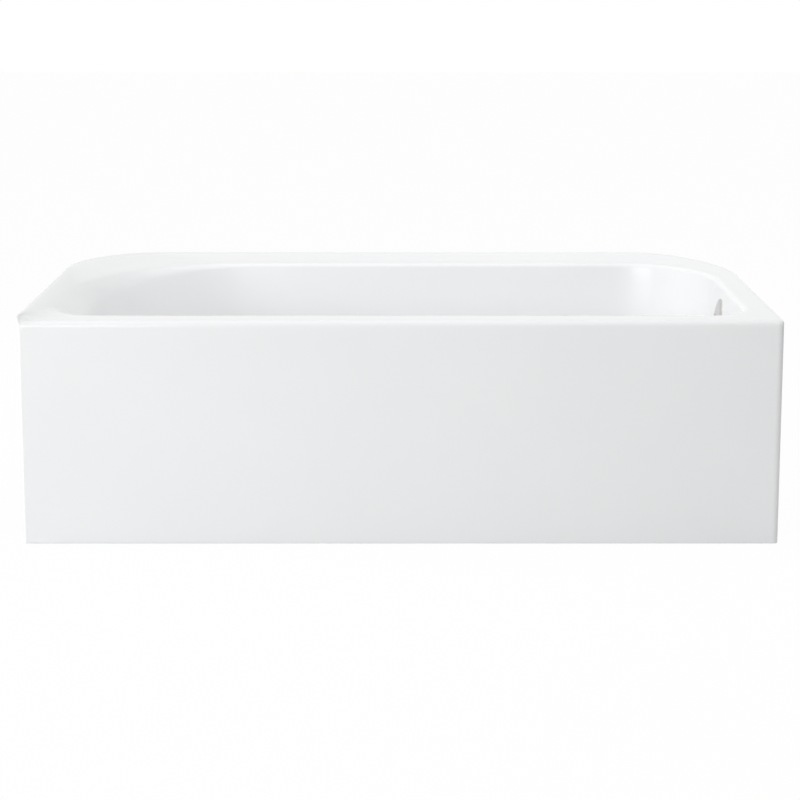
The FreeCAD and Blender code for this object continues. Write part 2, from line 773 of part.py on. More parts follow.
def stopper_cap():
    body = new_body("stopper_cap")
    feature = turn(body, "cap", [
        ("spigot_radius", 0),
        ("cap_radius", 0),
        ("cap_radius", "cap_height / 2"),
        ("cap_radius - cap_height / 2", "cap_height"),
        ("knob_radius * 0.7", "cap_height"),
        ("knob_radius * 0.7", "cap_height + knob_height / 2"),
        ("knob_radius", "cap_height + knob_height * 0.7"),
        ("knob_radius", "cap_height + knob_height"),
        (0, "cap_height + knob_height"),
        (0, "spigot_length"),
        ("spigot_radius", "spigot_length"),
    ])

    def knob_top(edge):
        return edge.BoundBox.ZMin > size("cap_height") + size("knob_height") - 0.1

    fillet(body, "knob_rounding", feature, "knob_radius / 4", knob_top)
    place(body, "drain_x", "middle_y", "cap_under")


def stopper_stem():
    """The stem stops against the bush when the stopper is fully lifted."""
    body = new_body("stopper_stem")
    stop = "(cap_under - bars_under + stopper_lift + seat_gap)"
    turn(body, "stem", [
        (0, "-%s - 3" % stop),
        ("bush_radius", "-%s - 3" % stop),
        ("bush_radius", "-" + stop),
        ("stem_radius", "-" + stop),
        ("stem_radius", 0),
        ("spigot_radius", 0),
        ("spigot_radius", "spigot_length"),
        (0, "spigot_length"),
    ])
    place(body, "drain_x", "middle_y", "cap_under")


def drain_shoe():
    """Body under the drain, with a glued socket towards the drain end."""
    body = new_body("drain_shoe")
    top = "shoe_top - waste_height"
    neck = "shoe_neck - waste_height"
    thread_end = "tail_end - waste_height"
    turn(body, "shoe_body", [
        (0, "-shoe_radius"),
        ("shoe_radius - 6", "-shoe_radius"),
        ("shoe_radius", "-shoe_radius + 6"),
        ("shoe_radius", neck),
        ("flange_radius", neck),
        ("flange_radius", top),
        (0, top),
    ])
    turn(body, "shoe_socket", [
        (0, 0),
        ("shoe_reach", 0),
        ("shoe_reach", "socket_radius"),
        (0, "socket_radius"),
    ], "H_Axis")
    turn(body, "shoe_bore", [
        (0, "-bore_radius - 4"),
        ("bore_radius", "-bore_radius - 4"),
        ("bore_radius", thread_end),
        ("tail_radius", thread_end),
        ("tail_radius", top + " + 1"),
        (0, top + " + 1"),
    ], cut=True)
    turn(body, "shoe_outlet", [
        (0, 0),
        ("shoe_reach + 1", 0),
        ("shoe_reach + 1", "tube_radius"),
        ("shoe_reach - socket_depth", "tube_radius"),
        ("shoe_reach - socket_depth", "bore_radius"),
        (0, "bore_radius"),
    ], "H_Axis", cut=True)
    place(body, "drain_x", "middle_y", "waste_height")


def drain_set():
    drain_strainer()
    washer_ring(
        "drain_flange_seal", "drain_hole + 0.5", "flange_radius - 1", "flange_seal",
        "drain_x", "middle_y", "recess_floor",
    )
    washer_ring(
        "shoe_gasket", "drain_hole + 0.5", "flange_radius", "shoe_gasket",
        "drain_x", "middle_y", "shoe_top",
    )
    drain_shoe()
    stopper_bush()
    stopper_cap()
    washer_ring(
        "stopper_seal", "seal_radius - seal_lap", "seal_radius", "seal_height",
        "drain_x", "middle_y", "seal_under",
    )
    stopper_stem()


# ---------------------------------------------------------------- waste and overflow pipes


def waste_tee():
    body = new_body("waste_tee")
    turn(body, "tee_stack", [
        (0, "-tee_drop"),
        ("socket_radius", "-tee_drop"),
        ("socket_radius", "tee_arm"),
        (0, "tee_arm"),
    ])
    turn(body, "tee_branch", [
        ("-tee_arm", 0),
        (0, 0),
        (0, "socket_radius"),
        ("-tee_arm", "socket_radius"),
    ], "H_Axis")
    turn(body, "tee_stack_bore", [
        (0, "-tee_drop - 1"),
        ("tail_spigot", "-tee_drop - 1"),
        ("tail_spigot", "-tee_drop + tee_socket"),
        ("bore_radius", "-tee_drop + tee_socket"),
        ("bore_radius", "tee_arm - socket_depth"),
        ("slip_radius", "tee_arm - socket_depth"),
        ("slip_radius", "tee_arm + 1"),
        (0, "tee_arm + 1"),
    ], cut=True)
    turn(body, "tee_branch_bore", [
        ("-tee_arm - 1", 0),
        (0, 0),
        (0, "bore_radius"),
        ("-tee_arm + socket_depth", "bore_radius"),
        ("-tee_arm + socket_depth", "slip_radius"),
        ("-tee_arm - 1", "slip_radius"),
    ], "H_Axis", cut=True)
    place(body, "stack_x", "middle_y", "waste_height")


def tube(label, length, x, z, flat=False):
    """A tube that stands on (x, z), or lies along X from there."""
    body = new_body(label)
    turn(body, label + "_wall", [
        ("bore_radius", 0),
        ("tube_radius", 0),
        ("tube_radius", length),
        ("bore_radius", length),
    ])
    if flat:
        body.Placement = FreeCAD.Placement(V(0, 0, 0), FreeCAD.Rotation(V(0, 1, 0), 90))
    place(body, x, "middle_y", z)


def tailpiece():
    """The outlet under the tee: a tube whose narrowed end fills the tee's socket."""
    body = new_body("tailpiece")
    shoulder = "waste_height - tee_drop - outlet_clear"
    turn(body, "tailpiece_wall", [
        ("bore_radius", 0),
        ("tube_radius", 0),
        ("tube_radius", shoulder),
        ("tail_spigot", shoulder),
        ("tail_spigot", shoulder + " + tee_socket"),
        ("bore_radius", shoulder + " + tee_socket"),
    ])
    place(body, "stack_x", "middle_y", "outlet_clear")


def slip_nut(label):
    """A six-sided nut, threaded on the arm of the tee, that squeezes a washer on the tube."""
    body = new_body(label)
    half = "nut_width / 2"
    side = "nut_width * %.9f" % (1 / math.sqrt(3))
    corners = [
        (side, 0),
        (side + " / 2", half),
        ("-%s / 2" % side, half),
        ("-" + side, 0),
        ("-%s / 2" % side, "-" + half),
        (side + " / 2", "-" + half),
    ]
    plan = outline(body, label + "_plan", "XY_Plane", corners)
    pad(body, label + "_hexagon", plan, "nut_height")
    seat = "nut_height - nut_cap"
    turn(body, label + "_bore", [
        (0, -1),
        ("socket_radius", -1),
        ("socket_radius", seat),
        ("slip_radius", seat),
        ("slip_radius", "nut_height + 1"),
        (0, "nut_height + 1"),
    ], cut=True)
    return body


def slip_washer(label):
    body = new_body(label)
    turn(body, label + "_ring", [
        ("tube_radius", 0),
        ("socket_radius - 0.3", 0),
        ("socket_radius - 0.3", "washer_height"),
        ("tube_radius", "washer_height"),
    ])
    return body


def slip_joint(name, x, z, turned):
    """A washer at the mouth of a tee's arm and the nut over it, along Z or turned to -X."""
    washer = slip_washer(name + "_slip_washer")
    nut = slip_nut(name + "_slip_nut")
    step = "nut_height - nut_cap - washer_height"
    if turned:
        for piece in (washer, nut):
            piece.Placement = FreeCAD.Placement(V(0, 0, 0), FreeCAD.Rotation(V(0, 1, 0), -90))
        place(washer, x, "middle_y", z)
        place(nut, "%s + %s" % (x, step), "middle_y", z)
    else:
        place(washer, x, "middle_y", z)
        place(nut, x, "middle_y", "%s - (%s)" % (z, step))


def overflow_elbow():
    """Head behind the end wall, square to it, that turns down into the overflow tube."""
    piece = doc.addObject("Part::Feature", "overflow_elbow")
    piece.Label = "overflow_elbow"
    lean = math.radians(size("end_draft"))
    outwards = V(math.cos(lean), 0, -math.sin(lean))
    centre = V(size("overflow_x"), size("middle_y"), size("overflow_z"))
    bend = V(size("stack_x"), size("middle_y"), size("bend_z"))
    low = V(size("stack_x"), size("middle_y"), size("elbow_end"))
    face = centre + outwards * size("head_face")
    along = size("bend_along") - size("head_face")
    drop = size("elbow_drop")

    def body_of(radius, start, length):
        arm = Part.makeCylinder(radius, length, start, outwards)
        ball = Part.makeSphere(radius, bend)
        leg = Part.makeCylinder(radius, drop, low)
        return arm.fuse(ball).fuse(leg)

    flange = Part.makeCylinder(size("plate_radius"), size("head_flange"), face, outwards)
    solid = flange.fuse(body_of(size("head_radius"), face, along))
    solid = solid.cut(body_of(size("head_bore"), face - outwards, along + 1))
    solid = solid.cut(Part.makeCylinder(size("tube_radius"), size("socket_depth"), low))
    for side in (-1, 1):
        at = face + V(0, side * size("screw_offset"), 0)
        depth = size("screw_length") - size("head_face") + size("plate_crown")
        solid = solid.cut(Part.makeCylinder(size("screw_radius"), depth, at, outwards))
    piece.Shape = solid.removeSplitter()


def overflow_faceplate():
    """A dished plate with a water slot at its lower edge and two screw holes."""
    body = new_body("overflow_faceplate")
    feature = turn(body, "plate_dish", [
        ("plate_radius", 0),
        ("plate_radius", "-plate_edge"),
        ("plate_face", "-plate_crown"),
        (0, "-plate_crown"),
        (0, "-plate_crown + plate_skin"),
        ("plate_face - plate_skin * 0.4", "-plate_crown + plate_skin"),
        ("plate_radius - plate_skin", "-plate_edge + plate_skin * 0.4"),
        ("plate_radius - plate_skin", 0),
    ])

    def shoulder(edge):
        radius = edge.BoundBox.XLength / 2
        return edge.BoundBox.ZLength < 0.01 and abs(edge.BoundBox.ZMin + size("plate_crown")) < 0.01 \
            and abs(radius - size("plate_face")) < 0.01

    fillet(body, "plate_shoulder", feature, "plate_crown", shoulder)
    slot = outline(body, "plate_slot_plan", "XY_Plane", [
        ("plate_radius - plate_skin * 3", "-plate_slot / 2"),
        ("plate_radius + plate_skin", "-plate_slot / 2"),
        ("plate_radius + plate_skin", "plate_slot / 2"),
        ("plate_radius - plate_skin * 3", "plate_slot / 2"),
    ])
    pocket_both_ways(body, "plate_slot_cut", slot, "plate_edge * 1.4")
    holes = circles(body, "plate_screw_plan", "XY_Plane", [
        (0, "screw_offset", "screw_radius"),
        (0, "-screw_offset", "screw_radius"),
    ])
    pocket_both_ways(body, "plate_screw_holes", holes, "plate_crown * 3")
    lean_on_end_wall(body)


def overflow_screws():
    """The two screws that draw the faceplate and the elbow's head together."""
    lean = math.radians(size("end_draft"))
    outwards = V(math.cos(lean), 0, -math.sin(lean))
    centre = V(size("overflow_x"), size("middle_y"), size("overflow_z"))
    height = size("screw_head") / 2
    screws = []
    for side in (-1, 1):
        at = centre - outwards * size("plate_crown") + V(0, side * size("screw_offset"), 0)
        shank = Part.makeCylinder(size("screw_radius"), size("screw_length"), at, outwards)
        head = Part.makeCylinder(size("screw_head"), height, at - outwards * height, outwards)
        front = [
            edge for edge in head.Edges
            if edge.Curve.TypeId == "Part::GeomCircle"
            and (edge.Curve.Center - at).dot(outwards) < -height / 2
        ]
        head = head.makeFillet(height * 0.7, front)
        screws.append(shank.fuse(head).removeSplitter())
    piece = doc.addObject("Part::Feature", "overflow_screws")
    piece.Label = "overflow_screws"
    piece.Shape = Part.makeCompound(screws)


def overflow_gasket():
    body = new_body("overflow_gasket")
    turn(body, "gasket_ring", [
        ("overflow_hole", "wall_through"),
        ("plate_radius", "wall_through"),
        ("plate_radius", "head_face"),
        ("overflow_hole", "head_face"),
    ])
    lean_on_end_wall(body)


def pipe_set():
    tube("waste_tube", "waste_end - waste_start", "waste_start", "waste_height", flat=True)
    waste_tee()
    tailpiece()
    tube_foot = "waste_height + tee_arm - socket_depth"
    tube(
        "overflow_tube", "elbow_end + socket_depth - (%s)" % tube_foot, "stack_x", tube_foot
    )
    slip_joint("overflow", "stack_x", "waste_height + tee_arm", turned=False)
    slip_joint("waste", "stack_x - tee_arm", "waste_height", turned=True)
    overflow_elbow()
    overflow_gasket()
    overflow_faceplate()
    overflow_screws()


# ---------------------------------------------------------------- the whole tub

tub_shell()
floor_board()
for number, (x, y) in enumerate(foot_centres(), start=1):
    support_foot(number, x, y)
rails()
for number in range(1, BRACES + 1):
    apron_brace(number)
drain_set()
pipe_set()
doc.recompute()
foot_screws([doc.getObject("support_foot_%d" % (i + 1)) for i in range(FEET_PER_ROW * FOOT_ROWS)])
doc.recompute()

# ---------------------------------------------------------------- checks and files

for item in doc.Objects:
    if "Invalid" in item.State or "Error" in item.State:
        raise RuntimeError("%s failed: %s" % (item.Label, item.State))

pieces = [
    item for item in doc.Objects
    if item.TypeId in ("PartDesign::Body", "Part::Box", "Part::Feature")
]
for piece in pieces:
    if piece.Shape.isNull() or not piece.Shape.isValid():
        raise RuntimeError("%s has no valid shape" % piece.Label)

os.makedirs("parts", exist_ok=True)
for piece in pieces:
    piece.Shape.exportStep("parts/%s.step" % piece.Label)
    box_of = piece.Shape.BoundBox
    print(
        "%-22s solids %2d  volume %9.1f cm3  x %.1f..%.1f  y %.1f..%.1f  z %.1f..%.1f"
        % (
            piece.Label, len(piece.Shape.Solids), piece.Shape.Volume / 1000,
            box_of.XMin, box_of.XMax, box_of.YMin, box_of.YMax, box_of.ZMin, box_of.ZMax,
        )
    )
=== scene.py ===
import json
import math

import bmesh
import bpy
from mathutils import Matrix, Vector


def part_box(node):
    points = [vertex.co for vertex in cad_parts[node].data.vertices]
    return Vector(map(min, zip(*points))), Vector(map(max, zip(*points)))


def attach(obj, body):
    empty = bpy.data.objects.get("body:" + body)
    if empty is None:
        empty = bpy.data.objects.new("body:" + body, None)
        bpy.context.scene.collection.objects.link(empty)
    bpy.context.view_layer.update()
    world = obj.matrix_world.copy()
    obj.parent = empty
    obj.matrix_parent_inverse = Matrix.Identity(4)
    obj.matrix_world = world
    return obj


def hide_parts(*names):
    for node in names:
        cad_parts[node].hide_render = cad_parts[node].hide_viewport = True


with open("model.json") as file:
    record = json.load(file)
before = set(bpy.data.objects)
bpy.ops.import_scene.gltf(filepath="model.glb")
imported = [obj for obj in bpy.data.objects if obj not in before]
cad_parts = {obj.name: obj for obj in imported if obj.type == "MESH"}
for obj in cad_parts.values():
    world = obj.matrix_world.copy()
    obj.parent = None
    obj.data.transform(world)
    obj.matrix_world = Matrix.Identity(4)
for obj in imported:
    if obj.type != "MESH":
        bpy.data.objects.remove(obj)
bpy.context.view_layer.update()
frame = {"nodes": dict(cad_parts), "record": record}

MM = 0.001
QUARTER_TURN = math.pi / 2
MERGE_DISTANCE = 0.001 * MM


def degrees(angle):
    return math.radians(angle)


# ---------------------------------------------------------------- sizes of the tub

shell_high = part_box("tub_shell")[1]
HALF_LENGTH = shell_high.x
HALF_WIDTH = shell_high.y
LIP_TOP = shell_high.z
LIP_RISE = 13 * MM
RIM = LIP_TOP - LIP_RISE
WALL = 5 * MM
BASIN_FLOOR = 115 * MM
BASIN_DEPTH = RIM - BASIN_FLOOR
SKIRT_DEPTH = 60 * MM
APRON_RETURN = 45 * MM
APRON_FOOT = 30 * MM
APRON_FOOT_ROUND = 3 * MM

# The four sides run front, drain end, back, backrest end.
FRONT, DRAIN_END, BACK, BACKREST = range(4)
RIM_WIDTHS = (70 * MM, 58 * MM, 85 * MM, 57 * MM)
LEANS = (degrees(7.5), degrees(9), degrees(7.5), degrees(31))
EDGE_ROUNDS = (12 * MM, 5 * MM, 4 * MM, 4 * MM)
MOUTH_ROUND = 12 * MM
HAS_LIP = (False, False, True, True)
# How sharply the deck falls from the lip: 1 is a straight slope, more levels out sooner.
LIP_FALL = 1.6
FLOOR_ROUND = 60 * MM

# Each corner is where the side of the same number starts.
FRONT_LEFT, FRONT_RIGHT, BACK_RIGHT, BACK_LEFT = range(4)
END_CORNERS = {DRAIN_END: (FRONT_RIGHT, BACK_RIGHT), BACKREST: (FRONT_LEFT, BACK_LEFT)}
OUTER_CORNERS = (7 * MM, 14 * MM, 226 * MM, 200 * MM)
LEAST_CORNERS = (10 * MM, MM, MM, MM)
MOUTH_CORNERS = (80 * MM, 78 * MM, 205 * MM, 320 * MM)
FLOOR_CORNERS = (110 * MM, 110 * MM, 155 * MM, 155 * MM)

# The backrest rolls out of the lip in one long curve, then leans.
ROLL_DEPTH = 40 * MM
ROLL_REACH = 98 * MM
ROLL_FIRST_SLOPE = degrees(9)
ROLL_HANDLES = (46 * MM, 34 * MM)

drain_low, drain_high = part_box("drain_strainer")
DRAIN = Vector(((drain_low.x + drain_high.x) / 2, (drain_low.y + drain_high.y) / 2, BASIN_FLOOR))
DRAIN_HOLE = 24 * MM
DRAIN_RECESS = 37 * MM
RECESS_DEPTH = 2.5 * MM
RECESS_ROUND = 1 * MM
RECESS_FOOT = 0.5 * MM

# ---------------------------------------------------------------- node trees


class Socket:
    """An output of a node, with the operators of plain numbers."""

    def __init__(self, tree, output):
        self.tree = tree
        self.output = output

    def beside(self, name):
        """Another output of the same node."""
        return Socket(self.tree, self.output.node.outputs[name])

    def maths(self, operation, first, second=None):
        values = [first] if second is None else [first, second]
        return self.tree.add("ShaderNodeMath", {"operation": operation}, *values)

    def __add__(self, other):
        return self.maths("ADD", self, other)

    __radd__ = __add__

    def __mul__(self, other):
        return self.maths("MULTIPLY", self, other)

    __rmul__ = __mul__

    def __sub__(self, other):
        return self.maths("SUBTRACT", self, other)

    def __rsub__(self, other):
        return self.maths("SUBTRACT", other, self)

    def __truediv__(self, other):
        return self.maths("DIVIDE", self, other)

    def __pow__(self, other):
        return self.maths("POWER", self, other)


class Tree:
    """A node tree under construction."""

    def __init__(self, nodes):
        self.tree = nodes

    def add(self, kind, settings, *values, output=0, **named):
        """A node with its settings made first, then its inputs by order or by name."""
        node = self.tree.nodes.new(kind)
        for key, setting in settings.items():
            setattr(node, key, setting)
        for key, value in list(enumerate(values)) + list(named.items()):
            self.connect(node.inputs[key], value)
        return Socket(self, node.outputs[output])

    def connect(self, target, value):
        """Sets an input, or links it to one socket or to each socket of a list."""
        if isinstance(value, Socket):
            self.tree.links.new(value.output, target)
        elif isinstance(value, list):
            for each in value:
                self.tree.links.new(each.output, target)
        else:
            target.default_value = value


class Finish(Tree):
    """A material under construction."""

    def __init__(self, name):
        self.material = bpy.data.materials.new(name)
        self.material.use_nodes = True
        super().__init__(self.material.node_tree)
        self.surface = self.tree.nodes["Principled BSDF"]
        self.place = self.add("ShaderNodeTexCoord", {}, output="Object")

    def set(self, **inputs):
        for name, value in inputs.items():
            self.connect(self.surface.inputs[name.replace("_", " ")], value)

    def stretched(self, x, y, z):
        return self.add("ShaderNodeMapping", {}, self.place, Scale=(x, y, z))

    def noise(self, scale, detail=3.0, place=None):
        return self.add("ShaderNodeTexNoise", {}, Vector=place or self.place, Scale=scale, Detail=detail)

    def cells(self, scale, place, output="Distance"):
        return self.add("ShaderNodeTexVoronoi", {}, Vector=place, Scale=scale, output=output)

    def blend(self, factor, first, second):
        return self.add(
            "ShaderNodeMix", {"data_type": "RGBA"}, output="Result",
            Factor=factor, A=(*first, 1.0), B=(*second, 1.0),
        )

    def bump(self, height, depth, strength):
        return self.add("ShaderNodeBump", {}, Height=height, Distance=depth, Strength=strength)


# ---------------------------------------------------------------- finishes


def gloss_white():
    """The polished outside of the shell: white, faintly cool, with a very slight ripple."""
    finish = Finish("gloss white")
    ripple = finish.noise(scale=9, detail=1.0)
    cloud = finish.noise(scale=3, detail=2.0)
    finish.set(
        Base_Color=finish.blend(cloud, (0.845, 0.855, 0.86), (0.875, 0.88, 0.885)),
        Roughness=0.17 + 0.05 * cloud,
        Normal=finish.bump(ripple, depth=0.6 * MM, strength=0.12),
        IOR=1.3,
        Coat_Weight=0.12,
        Coat_Roughness=0.05,
    )
    return finish.material


def glass_fibre_backing():
    """The rough underside of the shell: chopped glass strands under resin."""
    finish = Finish("glass fibre backing")
    across = finish.cells(scale=60, place=finish.stretched(1, 5, 2))
    along = finish.cells(scale=60, place=finish.stretched(5, 1, 2))
    strands = across * along
    patches = finish.noise(scale=14, detail=4.0)
    finish.set(
        Base_Color=finish.blend(patches, (0.63, 0.62, 0.55), (0.72, 0.71, 0.65)),
        Roughness=0.42 + 0.3 * patches,
        Normal=finish.bump(strands + 0.6 * patches, depth=2.5 * MM, strength=0.6),
        IOR=1.5,
    )
    return finish.material


def moulded(name, colour, lighter, roughness, grain=500):
    """Plain moulded plastic or rubber with a fine spark-eroded grain."""
    finish = Finish(name)
    fine = finish.noise(scale=grain, detail=2.0)
    cloud = finish.noise(scale=12, detail=3.0)
    finish.set(
        Base_Color=finish.blend(cloud, colour, lighter),
        Roughness=roughness + 0.12 * (fine - 0.5),
        Normal=finish.bump(fine, depth=0.2 * MM, strength=0.25),
    )
    return finish.material


def pressed_board():
    """A board of pressed wood flakes."""
    finish = Finish("pressed board")
    flakes = finish.cells(scale=45, place=finish.stretched(1, 2.2, 1), output="Color")
    tone = finish.add("ShaderNodeSeparateColor", {}, flakes)
    fibre = finish.noise(scale=160, detail=4.0, place=finish.stretched(1, 6, 6))
    finish.set(
        Base_Color=finish.blend(0.7 * tone + 0.3 * fibre, (0.42, 0.29, 0.17), (0.68, 0.53, 0.35)),
        Roughness=0.55 + 0.2 * fibre,
        Normal=finish.bump(tone + 0.5 * fibre, depth=0.8 * MM, strength=0.4),
    )
    return finish.material


def softwood():
    """Planed pine with its grain along the rail."""
    finish = Finish("softwood")
    rings = finish.noise(scale=24, detail=5.0, place=finish.stretched(0.12, 1, 1))
    grain = finish.noise(scale=220, detail=3.0, place=finish.stretched(0.05, 1, 1))
    tone = 0.75 * rings + 0.25 * grain
    finish.set(
        Base_Color=finish.blend(tone, (0.50, 0.33, 0.18), (0.76, 0.60, 0.39)),
        Roughness=0.5 + 0.2 * grain,
        Normal=finish.bump(tone, depth=0.5 * MM, strength=0.3),
    )
    return finish.material


def satin_metal(name, colour, lighter, roughness):
    """Satin or plated metal with a fine even grain."""
    finish = Finish(name)
    lines = finish.noise(scale=1400, detail=1.0)
    cloud = finish.noise(scale=9, detail=1.0)
    finish.set(
        Base_Color=finish.blend(cloud, colour, lighter),
        Roughness=roughness + 0.04 * (lines - 0.5),
        Normal=finish.bump(lines, depth=0.02 * MM, strength=0.08),
        Metallic=1.0,
    )
    return finish.material


FINISHES = {
    "shell": gloss_white(),
    "foot": moulded("black foot", (0.018, 0.018, 0.02), (0.03, 0.03, 0.032), roughness=0.5),
    "board": pressed_board(),
    "rail": softwood(),
    "brace": glass_fibre_backing(),
    "screw": satin_metal("zinc plate", (0.55, 0.56, 0.58), (0.66, 0.66, 0.66), roughness=0.32),
    "nickel": satin_metal("satin nickel", (0.57, 0.56, 0.54), (0.61, 0.60, 0.58), roughness=0.24),
    "seal": moulded("black rubber", (0.012, 0.012, 0.013), (0.022, 0.022, 0.022), roughness=0.62),
    "bush": moulded("natural nylon", (0.70, 0.69, 0.64), (0.76, 0.75, 0.70), roughness=0.4),
    "pipe": moulded("white waste pipe", (0.72, 0.72, 0.70), (0.78, 0.78, 0.76), roughness=0.33, grain=260),
}

for part in frame["record"]["subparts"]:
    node = frame["nodes"][part["node"]]
    node.data.materials.clear()
    node.data.materials.append(FINISHES[part["material_slot"]])

# ---------------------------------------------------------------- ways of making pieces

SHELL_SHARP_ANGLE = 40
SCREW_SHARP_ANGLE = 32


def mesh_object(name, vertices, faces, materials):
    mesh = bpy.data.meshes.new(name)
    mesh.from_pydata([tuple(v) for v in vertices], [], faces)
    piece = bpy.data.objects.new(name, mesh)
    bpy.context.scene.collection.objects.link(piece)
    for material in materials:
        mesh.materials.append(material)
    mesh.update()
    return piece


def finished(piece, sharp):
    """The piece with its modifiers made real, smooth shaded but for edges over the sharp angle."""
    evaluated = piece.evaluated_get(bpy.context.evaluated_depsgraph_get())
    mesh = bpy.data.meshes.new_from_object(evaluated)
    piece.modifiers.clear()
    piece.data = mesh
    mesh.shade_smooth()
    mesh.set_sharp_from_angle(angle=degrees(sharp))
    mesh.name = piece.name
    return piece


def even_shading(piece):
    """Bends the normals of roundings only, so that flat faces look flat."""
    weighted = piece.modifiers.new("even shading", "WEIGHTED_NORMAL")
    weighted.keep_sharp = True
    weighted.weight = 90


def normals_outwards(piece):
    shape = bmesh.new()
    shape.from_mesh(piece.data)
    bmesh.ops.remove_doubles(shape, verts=shape.verts, dist=MERGE_DISTANCE)
    bmesh.ops.recalc_face_normals(shape, faces=shape.faces)
    shape.to_mesh(piece.data)
    shape.free()


class Pattern(Tree):
    """A geometry node tree whose named inputs are the sizes of what it makes."""

    KINDS = {float: "NodeSocketFloat", int: "NodeSocketInt", tuple: "NodeSocketVector"}

    def __init__(self, name, sizes):
        super().__init__(bpy.data.node_groups.new(name, "GeometryNodeTree"))
        outside = self.tree.interface
        outside.new_socket("Geometry", in_out="OUTPUT", socket_type="NodeSocketGeometry")
        outside.new_socket("Geometry", in_out="INPUT", socket_type="NodeSocketGeometry")
        self.sizes = sizes
        self.keys = {}
        for label, value in sizes.items():
            socket = outside.new_socket(label, in_out="INPUT", socket_type=self.KINDS[type(value)])
            self.keys[label] = socket.identifier
        self.keys["Material"] = outside.new_socket(
            "Material", in_out="INPUT", socket_type="NodeSocketMaterial"
        ).identifier
        self.source = self.tree.nodes.new("NodeGroupInput")

    def __getitem__(self, label):
        return Socket(self, self.source.outputs[label])

    def bar(self, vertices, rings, radius, length, low):
        """A round bar along Z from its low end, with rings of vertices to shape."""
        plain = self.add(
            "GeometryNodeMeshCylinder", {}, Vertices=vertices, Radius=radius, Depth=length,
            **{"Side Segments": rings},
        )
        return self.add("GeometryNodeTransform", {}, plain, Translation=self.upwards(low + 0.5 * length))

    def upwards(self, height):
        return self.add("ShaderNodeCombineXYZ", {}, Z=height)

    def height(self):
        place = self.add("GeometryNodeInputPosition", {})
        return self.add("ShaderNodeSeparateXYZ", {}, place, output="Z")

    def drawn_in(self, shape, share):
        """The shape with every point's distance from the Z axis times its share."""
        place = self.add("GeometryNodeInputPosition", {})
        scale = self.add("ShaderNodeCombineXYZ", {}, X=share, Y=share, Z=1.0)
        moved = self.add("ShaderNodeVectorMath", {"operation": "MULTIPLY"}, place, scale)
        return self.add("GeometryNodeSetPosition", {}, shape, Position=moved)

    def block(self, x, y, z, height):
        size = self.add("ShaderNodeCombineXYZ", {}, X=x, Y=y, Z=z)
        plain = self.add("GeometryNodeMeshCube", {}, Size=size)
        return self.add("GeometryNodeTransform", {}, plain, Translation=self.upwards(height))

    def joined(self, shapes):
        return self.add("GeometryNodeMeshBoolean", {"operation": "UNION"}, **{"Mesh 2": shapes})

    def cut(self, shape, tools):
        return self.add(
            "GeometryNodeMeshBoolean", {"operation": "DIFFERENCE"}, **{"Mesh 1": shape, "Mesh 2": tools}
        )

    def at_each_point(self, shape, axis):
        """The shape at every point of the piece, with its Z turned along the axis."""
        turn = self.add("FunctionNodeAlignRotationToVector", {"axis": "Z"}, Vector=axis)
        return self.add(
            "GeometryNodeInstanceOnPoints", {}, Points=self["Geometry"], Instance=shape, Rotation=turn
        )

    def end(self, instances):
        plain = self.add("GeometryNodeRealizeInstances", {}, instances)
        dressed = self.add("GeometryNodeSetMaterial", {}, plain, Material=self["Material"])
        last = self.tree.nodes.new("NodeGroupOutput")
        self.connect(last.inputs["Geometry"], dressed)

    def make(self, name, points, material):
        """A piece with the pattern at its points, in one material."""
        piece = mesh_object(name, points, [], [material])
        modifier = piece.modifiers.new("pattern", "NODES")
        modifier.node_group = self.tree
        for label, value in {**self.sizes, "Material": material}.items():
            modifier[self.keys[label]] = value
        finished(piece, SCREW_SHARP_ANGLE)
        # Cutting leaves an empty material slot, so the one material is put back by itself.
        piece.data.materials.clear()
        piece.data.materials.append(material)
        piece.data.polygons.foreach_set("material_index", [0] * len(piece.data.polygons))
        return piece


# ---------------------------------------------------------------- the shell

# The upright part of the edge, from the skirt's foot up, above which the rounding starts.
SKIRT_HEIGHTS = (RIM - SKIRT_DEPTH, RIM - SKIRT_DEPTH + 2 * MM, RIM - 20 * MM, RIM - 14 * MM)
EDGE_STEPS = 6
DECK_STEPS = 8
MOUTH_STEPS = 12
WALL_STEPS = 9
FLOOR_ROUND_STEPS = 9
EDGE_ROW = len(SKIRT_HEIGHTS) + EDGE_STEPS
MOUTH_ROW = EDGE_ROW + DECK_STEPS

ARC_STEPS = 24
LINE_STEPS = (40, 24, 40, 24)
# On an end, the stations along the apron's return, as shares of it and closest by the corner.
RETURN_SHARES = (0.07, 0.14, 0.21, 0.28, 0.35, 0.43, 0.55, 0.75, 1.0)
STATION_MARGIN = 0.5 * MM

FLOOR_SHARES = (0.06, 0.2, 0.45, 0.7, 0.88)
RECESS_ROUND_STEPS = 3
APRON_HEIGHT_SHARES = (0.8, 0.6, 0.4, 0.2)
APRON_FOOT_STEPS = 4

# What is left of the wall's thickness, row by row, from just under the edge's rounding on to the deck.
LIP_WALL_SHARES = (0.7, 0.5) + (0.4,) * 9 + (0.5, 0.7, 0.85)
# The same rows are thinner still in the front left corner and a few stations to each side of it.
CORNER_WALL_SHARE = 0.3
CORNER_MARGIN = 5


def smooth_step(share):
    return (1 - math.cos(math.pi * share)) / 2


def sides_at(corner):
    """The side that ends at a corner and the side that starts there."""
    return (corner - 1) % 4, corner


def lean_at(side, depth):
    """How far the straight part of a side's wall stands in from the tub's edge."""
    if side == BACKREST:
        return ROLL_REACH + (depth - ROLL_DEPTH) * math.tan(LEANS[side])
    return RIM_WIDTHS[side] + depth * math.tan(LEANS[side])


